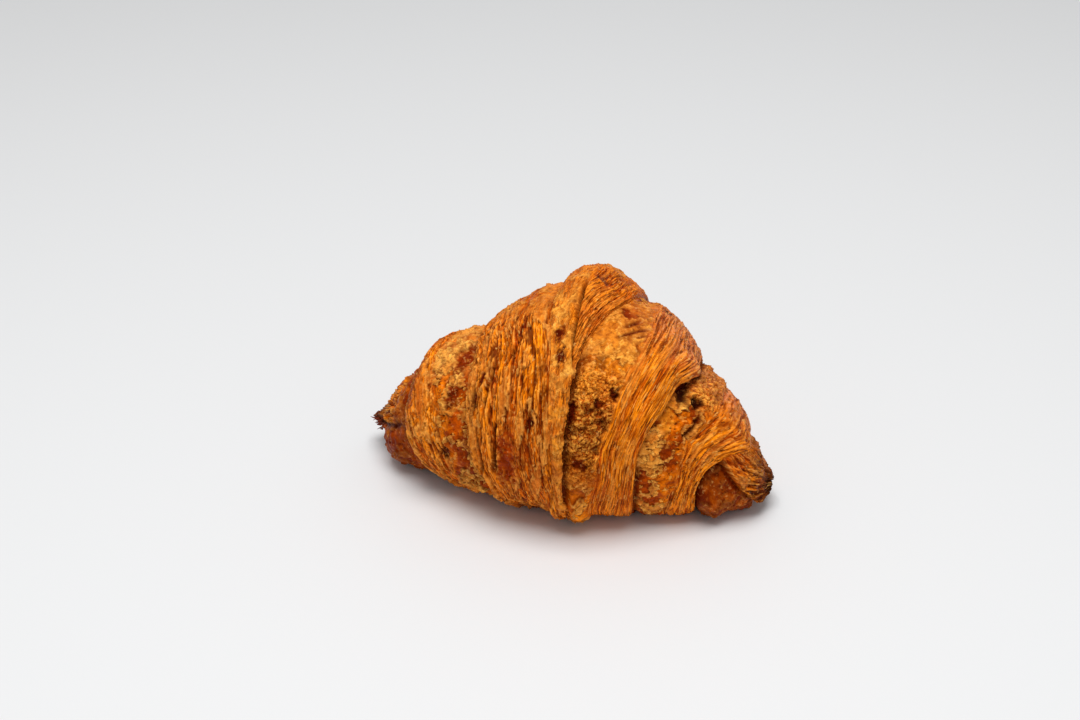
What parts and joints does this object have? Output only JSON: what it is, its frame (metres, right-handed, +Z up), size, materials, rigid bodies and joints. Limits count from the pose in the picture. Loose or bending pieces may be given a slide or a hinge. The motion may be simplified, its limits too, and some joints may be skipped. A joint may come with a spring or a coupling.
{
  "type": "croissant",
  "caption": "Baked croissant of rolled flaky dough, fat in the middle with stepped turns and two pointed ends, lying on its flat base.",
  "frame": {"origin": "centre of the bounding box at the base, on the surface the croissant lies on", "axes": "+X along the croissant from one pointed end to the other, +Y to the side that both ends bend towards, +Z up"},
  "size_m": [0.1462, 0.0856, 0.0836],
  "materials": {
    "crust": "baked, satin"
  },
  "bodies": {
    "root": {"croissant": "crust"}
  },
  "joints": []
}
